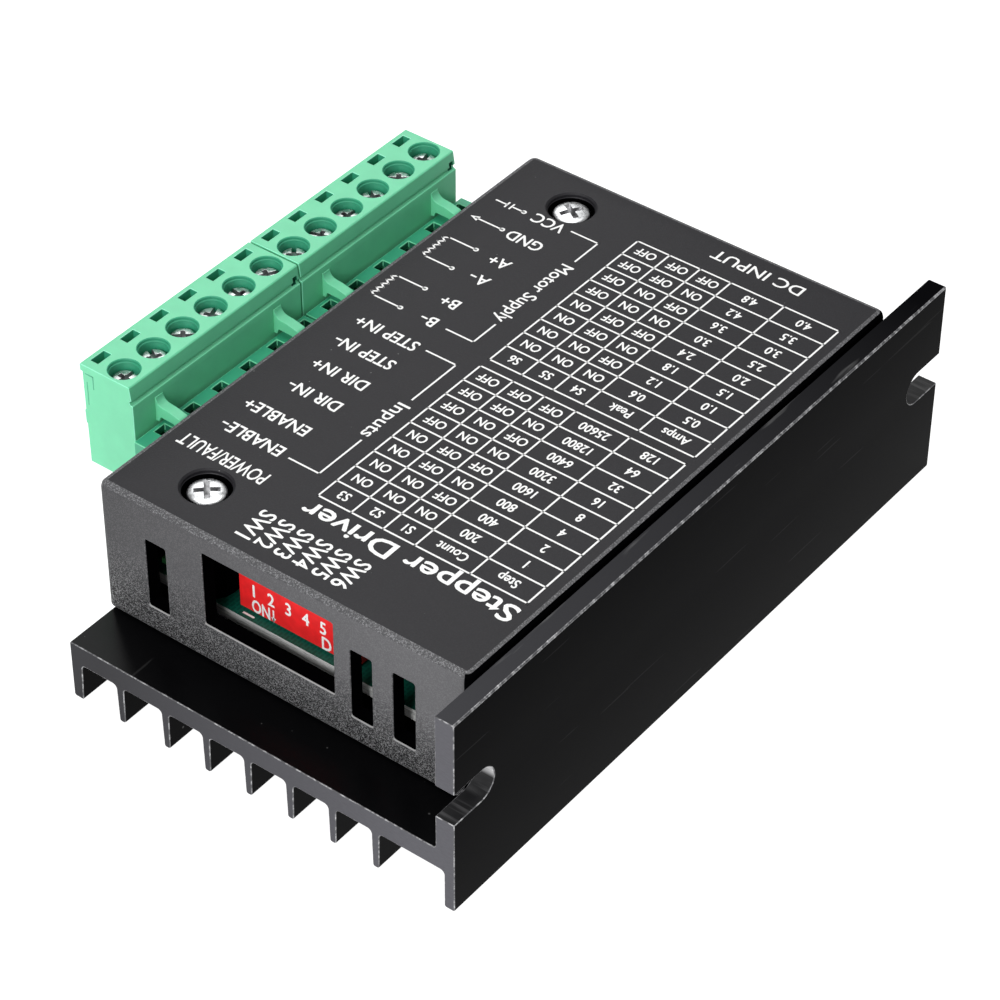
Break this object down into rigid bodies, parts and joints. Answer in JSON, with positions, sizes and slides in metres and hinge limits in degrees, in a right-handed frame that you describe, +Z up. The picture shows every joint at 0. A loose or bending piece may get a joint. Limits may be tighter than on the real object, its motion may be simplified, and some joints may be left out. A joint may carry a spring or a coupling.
{
  "type": "stepper motor driver module",
  "caption": "Finned heatsink with a side mounting wall, black plastic cover, DIP switch behind a front window, and green pluggable screw terminals along one side.",
  "frame": {"origin": "centre of the module's box at the level of the heatsink's fin tips, the surface it stands on", "axes": "+X towards the heatsink's side wall (terminals at -X), +Y from the DIP switch end to the rear along the extrusion, +Z up out of the cover"},
  "size_m": [0.0712, 0.096, 0.029],
  "materials": {
    "black_anodised_aluminium": "satin black anodised extrusion with bare bright machined cuts",
    "textured_black_plastic": "fine matt texture on top, coarser spark texture on the sides",
    "green_terminal_plastic": "satin moulded polyamide",
    "zinc_plated_steel": "bright zinc plate",
    "nickelled_brass": "nickel plated",
    "green_solder_mask": "glossy solder mask with pale fibreglass edge",
    "chip_black": "moulded epoxy",
    "thermal_pad_grey": "soft silicone pad",
    "capacitor_can": "bare can",
    "ferrite_grey": "sintered ferrite",
    "dip_red": "satin moulded red with white legends",
    "lever_white": "moulded white",
    "led_green_lens": "clear green resin",
    "led_red_lens": "clear red resin"
  },
  "bodies": {
    "chassis": {"heatsink": "black_anodised_aluminium", "cover": "textured_black_plastic", "cover_screw_front": "zinc_plated_steel", "cover_screw_rear": "zinc_plated_steel", "board_screw_front": "zinc_plated_steel", "board_screw_rear": "zinc_plated_steel", "spacer_1": "zinc_plated_steel", "spacer_2": "zinc_plated_steel", "spacer_3": "zinc_plated_steel", "spacer_4": "zinc_plated_steel", "circuit_board": "green_solder_mask", "driver_chip": "chip_black", "optocoupler_1": "chip_black", "optocoupler_2": "chip_black", "optocoupler_3": "chip_black", "sense_resistor_1": "chip_black", "sense_resistor_2": "chip_black", "voltage_regulator": "chip_black", "thermal_pad": "thermal_pad_grey", "capacitor_1": "capacitor_can", "capacitor_2": "capacitor_can", "inductor": "ferrite_grey", "led_power": "led_green_lens", "led_alarm": "led_red_lens", "dip_switch_body": "dip_red", "header_signal": "green_terminal_plastic", "header_power": "green_terminal_plastic"},
    "signal_plug": {"plug_signal": "green_terminal_plastic"},
    "power_plug": {"plug_power": "green_terminal_plastic"},
    "dip_lever_1": {"dip_lever_1": "lever_white"},
    "dip_lever_2": {"dip_lever_2": "lever_white"},
    "dip_lever_3": {"dip_lever_3": "lever_white"},
    "dip_lever_4": {"dip_lever_4": "lever_white"},
    "dip_lever_5": {"dip_lever_5": "lever_white"},
    "dip_lever_6": {"dip_lever_6": "lever_white"},
    "terminal_screw_1": {"terminal_screw_1": "zinc_plated_steel"},
    "wire_clamp_1": {"wire_clamp_1": "nickelled_brass"},
    "terminal_screw_2": {"terminal_screw_2": "zinc_plated_steel"},
    "wire_clamp_2": {"wire_clamp_2": "nickelled_brass"},
    "terminal_screw_3": {"terminal_screw_3": "zinc_plated_steel"},
    "wire_clamp_3": {"wire_clamp_3": "nickelled_brass"},
    "terminal_screw_4": {"terminal_screw_4": "zinc_plated_steel"},
    "wire_clamp_4": {"wire_clamp_4": "nickelled_brass"},
    "terminal_screw_5": {"terminal_screw_5": "zinc_plated_steel"},
    "wire_clamp_5": {"wire_clamp_5": "nickelled_brass"},
    "terminal_screw_6": {"terminal_screw_6": "zinc_plated_steel"},
    "wire_clamp_6": {"wire_clamp_6": "nickelled_brass"},
    "terminal_screw_7": {"terminal_screw_7": "zinc_plated_steel"},
    "wire_clamp_7": {"wire_clamp_7": "nickelled_brass"},
    "terminal_screw_8": {"terminal_screw_8": "zinc_plated_steel"},
    "wire_clamp_8": {"wire_clamp_8": "nickelled_brass"},
    "terminal_screw_9": {"terminal_screw_9": "zinc_plated_steel"},
    "wire_clamp_9": {"wire_clamp_9": "nickelled_brass"},
    "terminal_screw_10": {"terminal_screw_10": "zinc_plated_steel"},
    "wire_clamp_10": {"wire_clamp_10": "nickelled_brass"},
    "terminal_screw_11": {"terminal_screw_11": "zinc_plated_steel"},
    "wire_clamp_11": {"wire_clamp_11": "nickelled_brass"},
    "terminal_screw_12": {"terminal_screw_12": "zinc_plated_steel"},
    "wire_clamp_12": {"wire_clamp_12": "nickelled_brass"}
  },
  "joints": [
    {"name": "signal_plug_pull", "type": "slide", "parent": "chassis", "child": "signal_plug", "axis": [-1, 0, 0], "range_m": [0, 0.012]},
    {"name": "power_plug_pull", "type": "slide", "parent": "chassis", "child": "power_plug", "axis": [-1, 0, 0], "range_m": [0, 0.012]},
    {"name": "dip_lever_1_slide", "type": "slide", "parent": "chassis", "child": "dip_lever_1", "axis": [0, 0, -1], "range_m": [0, 0.0019]},
    {"name": "dip_lever_2_slide", "type": "slide", "parent": "chassis", "child": "dip_lever_2", "axis": [0, 0, -1], "range_m": [0, 0.0019]},
    {"name": "dip_lever_3_slide", "type": "slide", "parent": "chassis", "child": "dip_lever_3", "axis": [0, 0, -1], "range_m": [0, 0.0019]},
    {"name": "dip_lever_4_slide", "type": "slide", "parent": "chassis", "child": "dip_lever_4", "axis": [0, 0, -1], "range_m": [0, 0.0019]},
    {"name": "dip_lever_5_slide", "type": "slide", "parent": "chassis", "child": "dip_lever_5", "axis": [0, 0, -1], "range_m": [0, 0.0019]},
    {"name": "dip_lever_6_slide", "type": "slide", "parent": "chassis", "child": "dip_lever_6", "axis": [0, 0, -1], "range_m": [0, 0.0019]},
    {"name": "terminal_screw_1_turn", "type": "hinge", "parent": "signal_plug", "child": "terminal_screw_1", "pos_m": [-0.03071, -0.02534, 0.0277], "axis": [0, 0, -1], "range_deg": [0, 1584.2]},
    {"name": "wire_clamp_1_lift", "type": "slide", "parent": "signal_plug", "child": "wire_clamp_1", "axis": [0, 0, 1], "range_m": [0, 0.0022]},
    {"name": "terminal_screw_2_turn", "type": "hinge", "parent": "signal_plug", "child": "terminal_screw_2", "pos_m": [-0.03071, -0.02026, 0.0277], "axis": [0, 0, -1], "range_deg": [0, 1584.2]},
    {"name": "wire_clamp_2_lift", "type": "slide", "parent": "signal_plug", "child": "wire_clamp_2", "axis": [0, 0, 1], "range_m": [0, 0.0022]},
    {"name": "terminal_screw_3_turn", "type": "hinge", "parent": "signal_plug", "child": "terminal_screw_3", "pos_m": [-0.03071, -0.01518, 0.0277], "axis": [0, 0, -1], "range_deg": [0, 1584.2]},
    {"name": "wire_clamp_3_lift", "type": "slide", "parent": "signal_plug", "child": "wire_clamp_3", "axis": [0, 0, 1], "range_m": [0, 0.0022]},
    {"name": "terminal_screw_4_turn", "type": "hinge", "parent": "signal_plug", "child": "terminal_screw_4", "pos_m": [-0.03071, -0.0101, 0.0277], "axis": [0, 0, -1], "range_deg": [0, 1584.2]},
    {"name": "wire_clamp_4_lift", "type": "slide", "parent": "signal_plug", "child": "wire_clamp_4", "axis": [0, 0, 1], "range_m": [0, 0.0022]},
    {"name": "terminal_screw_5_turn", "type": "hinge", "parent": "signal_plug", "child": "terminal_screw_5", "pos_m": [-0.03071, -0.00502, 0.0277], "axis": [0, 0, -1], "range_deg": [0, 1584.2]},
    {"name": "wire_clamp_5_lift", "type": "slide", "parent": "signal_plug", "child": "wire_clamp_5", "axis": [0, 0, 1], "range_m": [0, 0.0022]},
    {"name": "terminal_screw_6_turn", "type": "hinge", "parent": "signal_plug", "child": "terminal_screw_6", "pos_m": [-0.03071, 0.00006, 0.0277], "axis": [0, 0, -1], "range_deg": [0, 1584.2]},
    {"name": "wire_clamp_6_lift", "type": "slide", "parent": "signal_plug", "child": "wire_clamp_6", "axis": [0, 0, 1], "range_m": [0, 0.0022]},
    {"name": "terminal_screw_7_turn", "type": "hinge", "parent": "power_plug", "child": "terminal_screw_7", "pos_m": [-0.03071, 0.00514, 0.0277], "axis": [0, 0, -1], "range_deg": [0, 1584.2]},
    {"name": "wire_clamp_7_lift", "type": "slide", "parent": "power_plug", "child": "wire_clamp_7", "axis": [0, 0, 1], "range_m": [0, 0.0022]},
    {"name": "terminal_screw_8_turn", "type": "hinge", "parent": "power_plug", "child": "terminal_screw_8", "pos_m": [-0.03071, 0.01022, 0.0277], "axis": [0, 0, -1], "range_deg": [0, 1584.2]},
    {"name": "wire_clamp_8_lift", "type": "slide", "parent": "power_plug", "child": "wire_clamp_8", "axis": [0, 0, 1], "range_m": [0, 0.0022]},
    {"name": "terminal_screw_9_turn", "type": "hinge", "parent": "power_plug", "child": "terminal_screw_9", "pos_m": [-0.03071, 0.0153, 0.0277], "axis": [0, 0, -1], "range_deg": [0, 1584.2]},
    {"name": "wire_clamp_9_lift", "type": "slide", "parent": "power_plug", "child": "wire_clamp_9", "axis": [0, 0, 1], "range_m": [0, 0.0022]},
    {"name": "terminal_screw_10_turn", "type": "hinge", "parent": "power_plug", "child": "terminal_screw_10", "pos_m": [-0.03071, 0.02038, 0.0277], "axis": [0, 0, -1], "range_deg": [0, 1584.2]},
    {"name": "wire_clamp_10_lift", "type": "slide", "parent": "power_plug", "child": "wire_clamp_10", "axis": [0, 0, 1], "range_m": [0, 0.0022]},
    {"name": "terminal_screw_11_turn", "type": "hinge", "parent": "power_plug", "child": "terminal_screw_11", "pos_m": [-0.03071, 0.02546, 0.0277], "axis": [0, 0, -1], "range_deg": [0, 1584.2]},
    {"name": "wire_clamp_11_lift", "type": "slide", "parent": "power_plug", "child": "wire_clamp_11", "axis": [0, 0, 1], "range_m": [0, 0.0022]},
    {"name": "terminal_screw_12_turn", "type": "hinge", "parent": "power_plug", "child": "terminal_screw_12", "pos_m": [-0.03071, 0.03054, 0.0277], "axis": [0, 0, -1], "range_deg": [0, 1584.2]},
    {"name": "wire_clamp_12_lift", "type": "slide", "parent": "power_plug", "child": "wire_clamp_12", "axis": [0, 0, 1], "range_m": [0, 0.0022]}
  ],
  "couplings": [
    {"joint": "terminal_screw_1_turn", "follows": "wire_clamp_1_lift", "rad_per_m": 12566},
    {"joint": "terminal_screw_2_turn", "follows": "wire_clamp_2_lift", "rad_per_m": 12566},
    {"joint": "terminal_screw_3_turn", "follows": "wire_clamp_3_lift", "rad_per_m": 12566},
    {"joint": "terminal_screw_4_turn", "follows": "wire_clamp_4_lift", "rad_per_m": 12566},
    {"joint": "terminal_screw_5_turn", "follows": "wire_clamp_5_lift", "rad_per_m": 12566},
    {"joint": "terminal_screw_6_turn", "follows": "wire_clamp_6_lift", "rad_per_m": 12566},
    {"joint": "terminal_screw_7_turn", "follows": "wire_clamp_7_lift", "rad_per_m": 12566},
    {"joint": "terminal_screw_8_turn", "follows": "wire_clamp_8_lift", "rad_per_m": 12566},
    {"joint": "terminal_screw_9_turn", "follows": "wire_clamp_9_lift", "rad_per_m": 12566},
    {"joint": "terminal_screw_10_turn", "follows": "wire_clamp_10_lift", "rad_per_m": 12566},
    {"joint": "terminal_screw_11_turn", "follows": "wire_clamp_11_lift", "rad_per_m": 12566},
    {"joint": "terminal_screw_12_turn", "follows": "wire_clamp_12_lift", "rad_per_m": 12566}
  ]
}
